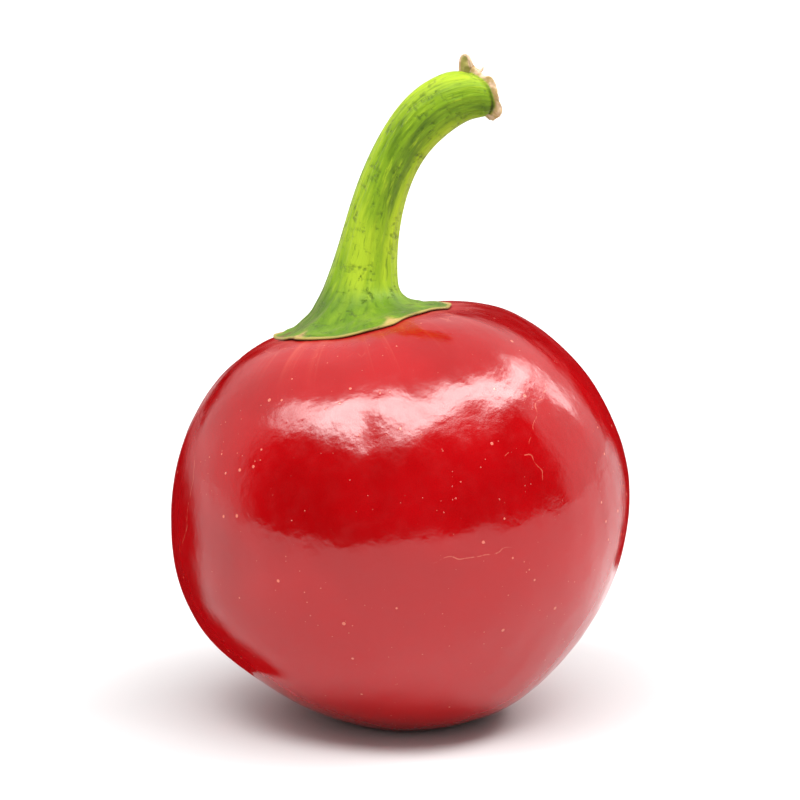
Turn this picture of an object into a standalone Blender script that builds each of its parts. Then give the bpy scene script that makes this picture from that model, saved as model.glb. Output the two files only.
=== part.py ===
"""A round, cherry-type chilli pepper, picked with its stalk.

Three pieces that grew together: a lobed pod, the star-shaped calyx that caps its crown, and the
bent stem. The pod leans a little and stands on a small flat patch, as the fruit does on a table.
Metres, +Z up. The origin is the middle of the whole fruit's box, on the surface it stands on.
"""
import math

import bmesh
import bpy
from mathutils import Matrix, Vector

MM = 0.001

# The pod, in its own upright frame: its centre at the origin, its crown along +Z.
POD_RADIUS = 20.4 * MM
CROWN_DROP = 4.3 * MM          # how far the crown is pressed in, below the ball
CROWN_SPREAD = 24.5            # degrees of latitude the pressed crown reaches
SHOULDER_SWELL = 0.35 * MM     # the shoulders stand out beyond the ball
SHOULDER_LATITUDE = 42.0
SHOULDER_SPREAD = 20.0
LOWER_SIDE_DROP = 0.65 * MM   # the lower sides run straighter than a ball's
LOWER_SIDE_LATITUDE = -45.0
LOWER_SIDE_SPREAD = 24.0
FOOT_DROP = 1.1 * MM           # the pod draws in towards its foot
FOOT_SPREAD = 65.0
LEFT_TAPER = 0.30 * MM        # low down, the -X side is drawn in more than the +X side
LEFT_TAPER_LATITUDE = -52.0
LEFT_TAPER_SPREAD = 30.0
RIGHT_FULLNESS = 0.4 * MM      # higher up, the +X side is fuller than the -X side
RIGHT_LATITUDE = 18.0
RIGHT_SPREAD = 25.0
FOOT_ASIDE = 0.6 * MM          # the foot lies this far to +X of the crown
FURROWS = (-6.5, 80.0, 170.0, 265.0)   # longitudes of the furrows between the lobes, 0 in front
FURROW_WIDTH = 24.0
FURROW_DEPTH = 1.3 * MM
FURROW_LATITUDE = 56.0
FURROW_REACH = 34.0
POD_SEGMENTS = 64
POD_RINGS = 34

# How the fruit stands.
LEAN_LEFT = 12.0               # degrees the crown leans to -X
LEAN_BACK = 8.0                # degrees the crown leans to +Y
FOOT_FLAT = 1.25 * MM          # how much of the skin the resting patch takes off

# The calyx, turned about the pod's axis: radius and height of its outer side, from the top down.
GAP = 0.3 * MM                 # what touching pieces keep between them
NECK_RADIUS = 2.6 * MM
CALYX_TOP = 21.2 * MM
CALYX_PROFILE = (
    (2.85 * MM, 20.3 * MM),
    (3.30 * MM, 19.3 * MM),
    (4.10 * MM, 18.4 * MM),
    (5.40 * MM, 17.8 * MM),
    (7.30 * MM, 17.55 * MM),
)
CALYX_UNDERSIDE = 14.0 * MM    # inside the pod, before the pod is cut away from it
TEETH = 6
TOOTH_REACH = 0.9 * MM
TOOTH_BEGINS = 3.2 * MM        # the star opens out from this radius
CALYX_SEGMENTS = 60

# The stem: its centreline from the calyx to the torn end, and its radius at each point.
STEM_POINTS = (
    ((1.50, -0.20, 21.20), 2.55),
    ((3.45, -0.55, 26.10), 2.35),
    ((6.95, -1.20, 31.00), 2.20),
    ((11.30, -1.90, 34.00), 2.15),
    ((15.20, -2.10, 33.80), 2.05),
)
STEM_SIDES = 16


def bell(angle, centre, width):
    """A smooth bump of height 1 at centre, falling off over width; all in degrees."""
    return math.exp(-(((angle - centre) / width) ** 2))


def furrow(longitude):
    """1 along the floor of each furrow, 0 on the lobes between them."""
    total = 0.0
    for middle in FURROWS:
        apart = (longitude - middle + 180.0) % 360.0 - 180.0
        total += bell(apart, 0.0, FURROW_WIDTH)
    return total


def skin_radius(latitude, longitude):
    """Distance from the pod's centre to its skin: a ball, swollen at the shoulders and on one
    side, pressed in at the crown, straighter low down, drawn in at the foot, and furrowed from the
    crown down over the shoulders."""
    radius = POD_RADIUS
    radius += SHOULDER_SWELL * bell(latitude, SHOULDER_LATITUDE, SHOULDER_SPREAD)
    radius -= CROWN_DROP * bell(latitude, 90.0, CROWN_SPREAD)
    radius -= LOWER_SIDE_DROP * bell(latitude, LOWER_SIDE_LATITUDE, LOWER_SIDE_SPREAD)
    radius -= FOOT_DROP * bell(latitude, -90.0, FOOT_SPREAD)
    to_right = math.sin(math.radians(longitude))
    taper = LEFT_TAPER * bell(latitude, LEFT_TAPER_LATITUDE, LEFT_TAPER_SPREAD)
    radius -= taper * math.cos(math.radians(latitude)) * (1.0 - to_right) / 2.0
    radius += RIGHT_FULLNESS * bell(latitude, RIGHT_LATITUDE, RIGHT_SPREAD) * to_right
    depth = FURROW_DEPTH * bell(latitude, FURROW_LATITUDE, FURROW_REACH)
    return radius - depth * math.cos(math.radians(latitude)) * furrow(longitude)


def material(name, colour, roughness):
    """A Principled material of one colour."""
    made = bpy.data.materials.new(name)
    made.use_nodes = True
    shader = made.node_tree.nodes["Principled BSDF"]
    shader.inputs["Base Color"].default_value = (*colour, 1.0)
    shader.inputs["Roughness"].default_value = roughness
    shader.inputs["Metallic"].default_value = 0.0
    return made


def collection(name):
    """A new collection in the scene."""
    made = bpy.data.collections.new(name)
    bpy.context.scene.collection.children.link(made)
    return made


def move_to(obj, target):
    """Put an object in one collection and in no other."""
    for holder in list(obj.users_collection):
        holder.objects.unlink(obj)
    target.objects.link(obj)


def cut(obj, cutter, name):
    """Subtract the cutter from the object."""
    difference = obj.modifiers.new(name, "BOOLEAN")
    difference.operation = "DIFFERENCE"
    difference.object = cutter


def as_cutter(obj):
    """Mark an object as a cutter: drawn as wire, and no part of the fruit."""
    move_to(obj, CUTTERS)
    obj.hide_render = True
    obj.display_type = "WIRE"


def pod_ball(name, grown):
    """The pod's shape from a sphere primitive: each point slides along its own direction to the
    skin, and then outwards by grown."""
    bpy.ops.mesh.primitive_uv_sphere_add(segments=POD_SEGMENTS, ring_count=POD_RINGS, radius=1.0)
    ball = bpy.context.object
    ball.name = name
    for vertex in ball.data.vertices:
        direction = vertex.co.normalized()
        latitude = math.degrees(math.asin(max(-1.0, min(1.0, direction.z))))
        longitude = math.degrees(math.atan2(direction.x, -direction.y))
        vertex.co = direction * (skin_radius(latitude, longitude) + grown)
        vertex.co.x += FOOT_ASIDE * min(0.0, direction.z) ** 2
    ball.data.shade_smooth()
    return ball


def make_pod():
    """The pod, flattened where it rests. The table is a block in the world's own axes, whose top
    lies FOOT_FLAT above the pod's lowest point."""
    pod = pod_ball("pod", 0.0)
    move_to(pod, FRUIT)
    pod.parent = UPRIGHT
    pod.data.materials.append(material("red_skin", (0.52, 0.004, 0.006), 0.18))
    lowest = min((LEANING @ vertex.co).z for vertex in pod.data.vertices)
    table_top = lowest + FOOT_FLAT
    side = 4.0 * POD_RADIUS
    bpy.ops.mesh.primitive_cube_add(size=side, location=(0.0, 0.0, table_top - side / 2.0))
    table = bpy.context.object
    table.name = "table_cutter"
    as_cutter(table)
    table.parent = STAND
    cut(pod, table, "resting_patch")
    return pod, table_top


def stem_start():
    """The stem's direction where it leaves the calyx: towards the second point of its line."""
    return (Vector(STEM_POINTS[1][0]) - Vector(STEM_POINTS[0][0])).normalized()


def make_calyx():
    """The calyx: a bell turned about the pod's axis. Its brim is drawn out into pointed teeth, its
    neck bends over to face the leaning stem, and the pod is cut out of its underside."""
    outline = [(0.0, CALYX_TOP), (NECK_RADIUS, CALYX_TOP), *CALYX_PROFILE]
    outline += [(CALYX_PROFILE[-1][0], CALYX_UNDERSIDE), (0.0, CALYX_UNDERSIDE)]
    mesh = bpy.data.meshes.new("calyx")
    points = [(radius, 0.0, height) for radius, height in outline]
    mesh.from_pydata(points, [(i, i + 1) for i in range(len(points) - 1)], [])
    bell_shape = bpy.data.objects.new("calyx_bell", mesh)
    FRUIT.objects.link(bell_shape)
    screw = bell_shape.modifiers.new("turned", "SCREW")
    screw.steps = CALYX_SEGMENTS
    screw.render_steps = CALYX_SEGMENTS
    screw.use_merge_vertices = True
    screw.merge_threshold = 0.00001
    turned = bpy.data.meshes.new_from_object(
        bell_shape.evaluated_get(bpy.context.evaluated_depsgraph_get()))
    bpy.data.objects.remove(bell_shape)
    calyx = bpy.data.objects.new("calyx", turned)
    FRUIT.objects.link(calyx)
    calyx.parent = UPRIGHT
    foot = Vector(STEM_POINTS[0][0]) * MM
    way = stem_start()
    hinge = Vector((0.0, 0.0, 1.0)).cross(way).normalized()
    bend = Vector((0.0, 0.0, 1.0)).angle(way)
    brim, brim_height = CALYX_PROFILE[-1]
    for vertex in turned.vertices:
        flat = Vector((vertex.co.x, vertex.co.y, 0.0))
        radius = flat.length
        longitude = math.atan2(flat.x, -flat.y)
        point = math.cos(0.5 * TEETH * (longitude - math.pi / 2.0)) ** 2
        open_out = max(0.0, radius - TOOTH_BEGINS) / (brim - TOOTH_BEGINS)
        if radius > 0.0:
            flat *= 1.0 + TOOTH_REACH * point * open_out ** 2 / radius
        rise = max(0.0, vertex.co.z - brim_height) / (CALYX_TOP - brim_height)
        flat.rotate(Matrix.Rotation(bend * rise, 4, hinge))
        spine = Vector((foot.x * rise, foot.y * rise, vertex.co.z))
        vertex.co = spine + flat
    turned.shade_smooth()
    calyx.data.materials.append(material("calyx_green", (0.20, 0.40, 0.03), 0.5))
    grown = pod_ball("crown_cutter", GAP)
    as_cutter(grown)
    grown.parent = UPRIGHT
    cut(calyx, grown, "seat_on_crown")
    return calyx


def make_stem():
    """The stem: a tube along its centreline, thinning towards the torn end. It starts one gap
    above the calyx."""
    curve = bpy.data.curves.new("stem", "CURVE")
    curve.dimensions = "3D"
    curve.bevel_depth = 1.0 * MM
    curve.bevel_resolution = STEM_SIDES // 4 - 1
    curve.use_fill_caps = True
    curve.resolution_u = 8
    spline = curve.splines.new("BEZIER")
    spline.bezier_points.add(len(STEM_POINTS) - 1)
    for knot, (place, radius) in zip(spline.bezier_points, STEM_POINTS):
        knot.co = Vector(place) * MM
        knot.radius = radius
        knot.handle_left_type = "AUTO"
        knot.handle_right_type = "AUTO"
    spline.bezier_points[0].co += stem_start() * GAP
    tube = bpy.data.objects.new("stem_curve", curve)
    FRUIT.objects.link(tube)
    tube.parent = UPRIGHT
    bpy.context.view_layer.update()
    solid = bpy.data.meshes.new_from_object(
        tube.evaluated_get(bpy.context.evaluated_depsgraph_get()))
    work = bmesh.new()
    work.from_mesh(solid)
    bmesh.ops.remove_doubles(work, verts=work.verts, dist=0.00001)
    bmesh.ops.recalc_face_normals(work, faces=work.faces)
    work.to_mesh(solid)
    work.free()
    stem = bpy.data.objects.new("stem", solid)
    FRUIT.objects.link(stem)
    stem.parent = UPRIGHT
    bpy.data.objects.remove(tube)
    solid.shade_smooth()
    solid.materials.append(material("stem_green", (0.24, 0.44, 0.03), 0.45))
    return stem


for old in list(bpy.data.objects):
    bpy.data.objects.remove(old)

FRUIT = collection("chilli_pepper")
CUTTERS = collection("cutters")

LEANING = (Matrix.Rotation(math.radians(-LEAN_BACK), 4, "X")
           @ Matrix.Rotation(math.radians(-LEAN_LEFT), 4, "Y"))
STAND = bpy.data.objects.new("stand", None)
UPRIGHT = bpy.data.objects.new("upright_frame", None)
FRUIT.objects.link(STAND)
FRUIT.objects.link(UPRIGHT)
UPRIGHT.parent = STAND
UPRIGHT.rotation_euler = LEANING.to_euler()

pod, table_top = make_pod()
make_calyx()
make_stem()

# The stand carries everything so that the box's middle is over the origin.
leaned = [LEANING @ vertex.co for vertex in pod.data.vertices]
middle_x = (min(p.x for p in leaned) + max(p.x for p in leaned)) / 2.0
middle_y = (min(p.y for p in leaned) + max(p.y for p in leaned)) / 2.0
STAND.location = (-middle_x, -middle_y, -table_top)
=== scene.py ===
"""A round, cherry-type chilli pepper with its calyx and torn stem, finished around its frame."""
import math

import bpy
import numpy as np
from mathutils import Matrix, Vector


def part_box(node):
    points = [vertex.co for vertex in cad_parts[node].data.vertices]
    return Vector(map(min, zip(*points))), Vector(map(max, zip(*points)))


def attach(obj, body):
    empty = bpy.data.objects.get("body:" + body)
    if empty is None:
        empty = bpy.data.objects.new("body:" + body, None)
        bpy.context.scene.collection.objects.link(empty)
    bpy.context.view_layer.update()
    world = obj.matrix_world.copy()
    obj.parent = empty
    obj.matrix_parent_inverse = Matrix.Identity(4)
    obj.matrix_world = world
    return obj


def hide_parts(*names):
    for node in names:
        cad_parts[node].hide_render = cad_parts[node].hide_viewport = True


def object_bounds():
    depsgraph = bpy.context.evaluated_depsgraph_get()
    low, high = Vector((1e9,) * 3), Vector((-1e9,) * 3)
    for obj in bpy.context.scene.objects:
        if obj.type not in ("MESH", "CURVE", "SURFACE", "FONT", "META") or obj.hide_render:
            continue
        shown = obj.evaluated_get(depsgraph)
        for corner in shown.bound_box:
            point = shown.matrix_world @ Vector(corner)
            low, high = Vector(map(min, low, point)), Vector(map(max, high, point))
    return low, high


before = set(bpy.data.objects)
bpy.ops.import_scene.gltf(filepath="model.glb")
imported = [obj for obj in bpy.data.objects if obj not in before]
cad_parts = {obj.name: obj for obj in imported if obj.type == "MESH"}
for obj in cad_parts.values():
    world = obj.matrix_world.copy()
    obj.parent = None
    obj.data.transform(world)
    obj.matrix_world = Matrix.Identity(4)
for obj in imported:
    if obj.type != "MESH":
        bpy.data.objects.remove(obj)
cad_low, cad_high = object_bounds()
MM = 0.001


# The camera stands in front of the fruit and a little above it, behind a long lens, so that the
# sides of the pod hardly converge. It looks at the middle of the fruit.
CAMERA_ELEVATION = math.radians(13.0)
CAMERA_DISTANCE = 490.0 * MM
PICTURE_HEIGHT = 1.24                      # heights of the fruit that the picture takes in

middle = (cad_low + cad_high) / 2.0
camera = bpy.data.objects.new("camera", bpy.data.cameras.new("camera"))
bpy.context.scene.collection.objects.link(camera)
towards_camera = Vector((0.0, -math.cos(CAMERA_ELEVATION), math.sin(CAMERA_ELEVATION)))
camera.location = middle + towards_camera * CAMERA_DISTANCE
camera.rotation_euler = towards_camera.to_track_quat("Z", "Y").to_euler()
picture_side = PICTURE_HEIGHT * (cad_high.z - cad_low.z)
camera.data.lens = camera.data.sensor_width * CAMERA_DISTANCE / picture_side
camera.data.clip_start = 10.0 * MM
bpy.context.scene.camera = camera


# The pod: a hollow fruit with a taut, waxy red skin, grown as one piece. Four shallow furrows run
# down from the crown between its lobes, and its foot is pressed flat where it rests. At the foot
# is the dry scar that the flower left, in a dimple of its own.
POD_RADIUS = 20.4
CROWN_DROP, CROWN_SPREAD = 4.3, 24.5       # millimetres, and degrees of latitude
SHOULDER_SWELL, SHOULDER_LATITUDE, SHOULDER_SPREAD = 0.35, 42.0, 20.0
LOWER_SIDE_DROP, LOWER_SIDE_LATITUDE, LOWER_SIDE_SPREAD = 0.65, -45.0, 24.0
FOOT_DROP, FOOT_SPREAD = 1.1, 65.0
LEFT_TAPER, LEFT_TAPER_LATITUDE, LEFT_TAPER_SPREAD = 0.3, -52.0, 30.0
RIGHT_FULLNESS, RIGHT_LATITUDE, RIGHT_SPREAD = 0.4, 18.0, 25.0
FOOT_ASIDE = 0.6
FURROWS = (-6.5, 80.0, 170.0, 265.0)
FURROW_WIDTH, FURROW_DEPTH, FURROW_LATITUDE, FURROW_REACH = 24.0, 1.3, 56.0, 34.0
LEAN = np.array(Matrix.Rotation(math.radians(-8.0), 3, "X")
                @ Matrix.Rotation(math.radians(-12.0), 3, "Y"))
POD_ROWS, POD_COLUMNS = 258, 360
SETTLED = 0.35                             # how softly the skin rounds into its flat foot
BROAD_RELIEF, BROAD_WAVELENGTH = 0.036, 8.0          # millimetres, as for the rest of the relief
FINE_RELIEF, FINE_WAVELENGTH = 0.009, 3.0
DENTS = (                  # longitude, latitude, depth, width in degrees, and stretch upwards
    (-3.0, 25.0, 0.085, 3.4, 2.6),
    (-27.0, 33.0, 0.06, 6.0, 1.0),
    (35.0, 30.0, 0.05, 6.0, 1.0),
    (160.0, 20.0, 0.10, 7.0, 1.0),
    (205.0, 35.0, 0.08, 6.0, 1.0),
    (-95.0, 5.0, 0.08, 8.0, 1.0),
)
PUCKERS, PUCKER_DEPTH, PUCKER_AT, PUCKER_REACH = 31.0, 0.035, 1.2, 1.5
FOOT_DIMPLE, DIMPLE_WIDTH = 0.75, 2.6
DIMPLE_RISE, RISE_WIDTH = 1.0, 2.2         # what lifts the dimple's middle off the table
FAR_FROM_RIM = 30.0                        # stands for any place below the pod's middle
RIM_CENTRE, RIM_CENTRE_WAY, RIM_RADIUS = 1.5, 20.0, 7.15
TEETH = ((-95.0, 0.95), (-38.0, 0.55), (20.0, 0.85), (91.0, 0.75), (150.0, 1.0), (212.0, 0.95))
TOOTH_WIDTH, TOOTH_ROUNDING, TOOTH_HEIGHT = 13.0, 0.01, 1.1


def bell(angle, centre, width):
    """A smooth bump of height 1 at centre, falling off over width."""
    return np.exp(-((angle - centre) / width) ** 2)


def turned_by(longitude, centre):
    """The angle from centre round to longitude, between -180 and 180 degrees."""
    return (longitude - centre + 180.0) % 360.0 - 180.0


def ripple(points, wavelength, seed, waves=14):
    """An even, smooth unrest over points: the mean of plane waves of about one wavelength that
    run in scattered directions. Its size is about 1."""
    draw = np.random.default_rng(seed)
    ways = draw.normal(size=(waves, 3))
    ways /= np.linalg.norm(ways, axis=1, keepdims=True)
    pitch = 2.0 * np.pi / (wavelength * draw.uniform(0.75, 1.35, size=waves))
    phases = draw.uniform(0.0, 2.0 * np.pi, size=waves)
    total = np.zeros(points.shape[:-1])
    for way, turns, phase in zip(ways, pitch, phases):
        total += np.sin(points @ way * turns + phase)
    return total / math.sqrt(waves / 2.0)


def skin_radius(latitude, longitude):
    """Distance from the pod's centre to its skin, in millimetres: a ball, swollen at the shoulders
    and on one side, pressed in at the crown, straighter low down, drawn in at the foot, and
    furrowed from the crown down over the shoulders."""
    radius = POD_RADIUS + SHOULDER_SWELL * bell(latitude, SHOULDER_LATITUDE, SHOULDER_SPREAD)
    radius = radius - CROWN_DROP * bell(latitude, 90.0, CROWN_SPREAD)
    radius = radius - LOWER_SIDE_DROP * bell(latitude, LOWER_SIDE_LATITUDE, LOWER_SIDE_SPREAD)
    radius = radius - FOOT_DROP * bell(latitude, -90.0, FOOT_SPREAD)
    to_right = np.sin(np.radians(longitude))
    flare = np.cos(np.radians(latitude))
    taper = LEFT_TAPER * bell(latitude, LEFT_TAPER_LATITUDE, LEFT_TAPER_SPREAD)
    radius = radius - taper * flare * (1.0 - to_right) / 2.0
    radius = radius + RIGHT_FULLNESS * bell(latitude, RIGHT_LATITUDE, RIGHT_SPREAD) * to_right
    furrow = sum(bell(turned_by(longitude, bottom), 0.0, FURROW_WIDTH) for bottom in FURROWS)
    return radius - FURROW_DEPTH * bell(latitude, FURROW_LATITUDE, FURROW_REACH) * flare * furrow


def on_skin(latitude, longitude):
    """Points of the pod's skin in its upright frame, in millimetres. Longitude 0 is in front and
    90 to the right; the foot lies a little to the right of the crown."""
    up = np.sin(np.radians(latitude))
    out = np.cos(np.radians(latitude))
    around = np.radians(longitude)
    radius = skin_radius(latitude, longitude)
    x = radius * out * np.sin(around) + FOOT_ASIDE * np.minimum(0.0, up) ** 2
    y = -radius * out * np.cos(around)
    return np.stack([x, y, radius * up], axis=-1)


def calyx_rim(longitude):
    """How far the calyx reaches from the pod's axis, in millimetres: a circle that lies a little
    to the front of the axis, drawn out into pointed teeth."""
    turn = np.radians(longitude - RIM_CENTRE_WAY)
    circle = RIM_CENTRE * np.cos(turn) + np.sqrt(RIM_RADIUS ** 2 - (RIM_CENTRE * np.sin(turn)) ** 2)
    return circle + sum(reach * tooth_at(longitude, place) for place, reach in TEETH)


def tooth_at(longitude, place):
    """The outline of one tooth: about 1 at its point, and falling off on both sides of it."""
    aside = turned_by(longitude, place) / TOOTH_WIDTH
    return np.exp(-np.sqrt(aside ** 2 + TOOTH_ROUNDING)) * TOOTH_HEIGHT


def closed_skin(name, rows, sharp_rings=()):
    """A mesh object from a grid of points, in metres: each row is a ring around the piece, and the
    first and last rows are single points that close its ends. Rings run anticlockwise seen from
    the last row, so that the faces point outwards. A sharp ring is an edge of the shape."""
    rings, columns = rows.shape[0] - 2, rows.shape[1]
    points = np.concatenate([rows[0, :1], rows[1:-1].reshape(-1, 3), rows[-1, :1]])
    ring = 1 + columns * np.arange(rings)[:, None] + np.arange(columns)[None, :]
    after = np.roll(ring, -1, axis=1)
    quads = np.stack([ring[:-1], after[:-1], after[1:], ring[1:]], axis=-1).reshape(-1, 4)
    start = np.stack([np.zeros(columns, int), after[0], ring[0]], axis=-1)
    end = np.stack([np.full(columns, len(points) - 1), ring[-1], after[-1]], axis=-1)
    mesh = bpy.data.meshes.new(name)
    mesh.from_pydata(points.tolist(), [], start.tolist() + quads.tolist() + end.tolist())
    mesh.shade_smooth()
    ends = np.empty(2 * len(mesh.edges), dtype=np.int32)
    mesh.edges.foreach_get("vertices", ends)
    of_ring = (ends.reshape(-1, 2) + columns - 1) // columns
    sharp = (of_ring[:, 0] == of_ring[:, 1]) & np.isin(of_ring[:, 0], sharp_rings)
    mesh.attributes.new("sharp_edge", "BOOLEAN", "EDGE").data.foreach_set("value", sharp)
    made = bpy.data.objects.new(name, mesh)
    bpy.context.scene.collection.objects.link(made)
    return made


def set_values(obj, name, rows):
    """Gives the points of a closed_skin a value or a vector each, from a grid like its own."""
    values = np.concatenate([rows[:1, 0], rows[1:-1].reshape(-1, *rows.shape[2:]), rows[-1:, 0]])
    kind, key = ("FLOAT_VECTOR", "vector") if values.ndim == 2 else ("FLOAT", "value")
    held = obj.data.attributes.new(name, kind, "POINT")
    held.data.foreach_set(key, values.astype(np.float32).ravel())


def leaned(points):
    """Points of the upright frame in the leaning fruit's place, in metres. The pod's box sets the
    place: its middle across and along, and its top."""
    return (points @ LEAN.T) * MM + POD_PLACE


latitudes = np.linspace(-90.0, 90.0, POD_ROWS)[:, None]
longitudes = np.linspace(0.0, 360.0, POD_COLUMNS, endpoint=False)[None, :]
upright = on_skin(latitudes, longitudes)
bare = upright.reshape(-1, 3) @ LEAN.T * MM
pod_low, pod_high = (np.array(corner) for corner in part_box("pod"))
POD_PLACE = (pod_low + pod_high) / 2.0 - (bare.min(0) + bare.max(0)) / 2.0
POD_PLACE[2] = pod_high[2] - bare.max(0)[2]

outwards = upright / np.linalg.norm(upright, axis=-1, keepdims=True)
from_axis = np.hypot(upright[..., 0], upright[..., 1])
past_rim = np.where(latitudes > 0.0, from_axis - calyx_rim(longitudes), FAR_FROM_RIM)
free = np.clip(past_rim / 3.0, 0.0, 1.0)
relief = free * (BROAD_RELIEF * ripple(upright, BROAD_WAVELENGTH, 3)
                 + FINE_RELIEF * ripple(upright, FINE_WAVELENGTH, 5))
for at_longitude, at_latitude, depth, width, stretch in DENTS:
    aside = turned_by(longitudes, at_longitude) * np.cos(np.radians(latitudes))
    upwards = latitudes - at_latitude
    upwards = np.where(upwards > 0.0, upwards / stretch, upwards)
    relief = relief - depth * bell(np.hypot(aside, upwards), 0.0, width)
pucker = np.cos(np.radians(longitudes) * PUCKERS + 3.0 * np.sin(np.radians(longitudes) * 5.0))
relief = relief + PUCKER_DEPTH * pucker * bell(past_rim, PUCKER_AT, PUCKER_REACH) * free ** 0.5
from_foot = np.hypot(upright[..., 0] - FOOT_ASIDE, upright[..., 1])
below = latitudes < 0.0
relief = relief - FOOT_DIMPLE * bell(from_foot, 0.0, DIMPLE_WIDTH) * below
upright = upright + outwards * relief[..., None]
pod_points = leaned(upright)
height = pod_points[..., 2] / MM
pod_points[..., 2] = MM * (height + np.sqrt(height ** 2 + SETTLED ** 2)) / 2.0
pod_points[..., 2] += MM * DIMPLE_RISE * bell(from_foot, 0.0, RISE_WIDTH) * below

pod = closed_skin("pod_skin", pod_points)
set_values(pod, "past_rim", past_rim)
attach(pod, "root")
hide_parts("pod")


def node(tree, kind, inputs=(), **settings):
    """A shader node of one kind, with its settings and its inputs: each input is a value, or the
    socket that it is linked from."""
    made = tree.nodes.new(kind)
    for setting, value in settings.items():
        setattr(made, setting, value)
    for name, value in dict(inputs).items():
        if isinstance(value, bpy.types.NodeSocket):
            tree.links.new(value, made.inputs[name])
        else:
            made.inputs[name].default_value = value
    return made


def maths(tree, operation, first, second=0.0):
    """The value of one sum on two values or sockets."""
    return node(tree, "ShaderNodeMath", {0: first, 1: second}, operation=operation).outputs[0]


def fade(tree, value, start, end, low=0.0, high=1.0):
    """low before start, high after end, and a smooth step between them."""
    made = node(tree, "ShaderNodeMapRange", {"Value": value, "From Min": start, "From Max": end,
                                             "To Min": low, "To Max": high},
                interpolation_type="SMOOTHSTEP")
    return made.outputs["Result"]


def noise(tree, vector, scale, detail=2.0, roughness=0.5):
    """A soft random value of about 0.5, over vector."""
    made = node(tree, "ShaderNodeTexNoise", {"Vector": vector, "Scale": scale, "Detail": detail,
                                             "Roughness": roughness})
    return made.outputs["Fac"]


def blended(tree, amount, under, over):
    """The colour under, with the colour over laid on it by an amount."""
    made = node(tree, "ShaderNodeMix", {"Factor": amount}, data_type="RGBA")
    for socket, colour in zip(("A", "B"), (under, over)):
        place = next(s for s in made.inputs if s.name == socket and s.type == "RGBA")
        if isinstance(colour, bpy.types.NodeSocket):
            tree.links.new(colour, place)
        else:
            place.default_value = (*colour, 1.0)
    return next(s for s in made.outputs if s.type == "RGBA")


def attribute(tree, name, output="Fac"):
    """A value or vector that the piece's own points hold."""
    return node(tree, "ShaderNodeAttribute", attribute_name=name).outputs[output]


def new_material(name, obj, **constants):
    """A material for obj with a Principled shader, whose constants are set on its own sockets."""
    made = bpy.data.materials.new(name)
    made.use_nodes = True
    shader = made.node_tree.nodes["Principled BSDF"]
    for socket, value in constants.items():
        shader.inputs[socket.replace("_", " ")].default_value = value
    obj.data.materials.append(made)
    return made.node_tree, shader


# Heights between which the painted bounce light on the pod comes in, from none to full.
BOUNCE_LIGHT_FIRST, BOUNCE_LIGHT_LAST = 3.0, -10.0     # heights in the fruit, in millimetres
RED_DEEP = (0.264, 0.0004, 0.0012)
RED_BRIGHT = (0.335, 0.0010, 0.0024)
RED_PAINTED_BOUNCE = (0.43, 0.0016, 0.0032)
RED_BY_CALYX = (0.36, 0.012, 0.006)
STREAK = (0.50, 0.075, 0.045)
HAIRLINE = (0.62, 0.16, 0.10)
FLECK = (0.74, 0.20, 0.13)
SCAR_BROWN, SCAR_DARK, SCAR_MARGIN = (0.20, 0.095, 0.035), (0.045, 0.02, 0.01), (0.50, 0.26, 0.11)

tree, shader = new_material("waxy_red_skin", pod, IOR=1.52)
place = node(tree, "ShaderNodeTexCoord").outputs["Object"]
fruit_mm = node(tree, "ShaderNodeMapping", {"Vector": place, "Location": POD_PLACE.tolist(),
                                            "Rotation": Matrix(LEAN.tolist()).to_euler(),
                                            "Scale": (MM, MM, MM)},
                vector_type="TEXTURE").outputs[0]
clouds = fade(tree, noise(tree, fruit_mm, 0.11, 3.0), 0.3, 0.7)
colour = blended(tree, clouds, RED_DEEP, RED_BRIGHT)
by_calyx = fade(tree, attribute(tree, "past_rim"), 0.0, 1.8, 0.6, 0.0)
colour = blended(tree, by_calyx, colour, RED_BY_CALYX)

axes = node(tree, "ShaderNodeSeparateXYZ", {"Vector": fruit_mm})
# Painted bounce light: the red turns lighter towards the bottom of the fruit, standing in for light
# thrown up from the white table.
painted_bounce_light = fade(tree, axes.outputs["Z"], BOUNCE_LIGHT_FIRST, BOUNCE_LIGHT_LAST, 0.0, 0.9)
colour = blended(tree, painted_bounce_light, colour, RED_PAINTED_BOUNCE)
sideways = node(tree, "ShaderNodeCombineXYZ", {"X": axes.outputs["X"], "Y": axes.outputs["Y"]})
bearing = node(tree, "ShaderNodeVectorMath", {0: sideways.outputs[0]}, operation="NORMALIZE")
streaks = fade(tree, noise(tree, bearing.outputs[0], 13.0, 3.0, 0.6), 0.52, 0.75, 0.0, 0.55)
streaks = maths(tree, "MULTIPLY", streaks,
                fade(tree, attribute(tree, "past_rim"), 0.5, 7.0, 1.0, 0.0))
colour = blended(tree, streaks, colour, STREAK)


def between(tree, value, low, high, soft):
    """1 where value lies between low and high, fading to 0 over soft on each side."""
    return maths(tree, "MULTIPLY", fade(tree, value, low - soft, low + soft),
                 fade(tree, value, high - soft, high + soft, 1.0, 0.0))


def specks(tree, vector, scale, share, largest):
    """Round specks over vector, in a share of the cells of this scale, of all sizes up to the
    largest, more of them in some places than in others."""
    cells = node(tree, "ShaderNodeTexVoronoi", {"Vector": vector, "Scale": scale})
    chosen = node(tree, "ShaderNodeSeparateColor", {"Color": cells.outputs["Color"]})
    size = fade(tree, chosen.outputs["Red"], 1.0 - share, 1.0, 0.02, largest)
    crowding = fade(tree, noise(tree, vector, 0.13, 1.0), 0.35, 0.60, 0.35, 1.0)
    reach = maths(tree, "MULTIPLY", size, crowding)
    return fade(tree, maths(tree, "SUBTRACT", reach, cells.outputs["Distance"]), 0.0, 0.03)


DEGREES = 57.3                             # in one radian


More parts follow.
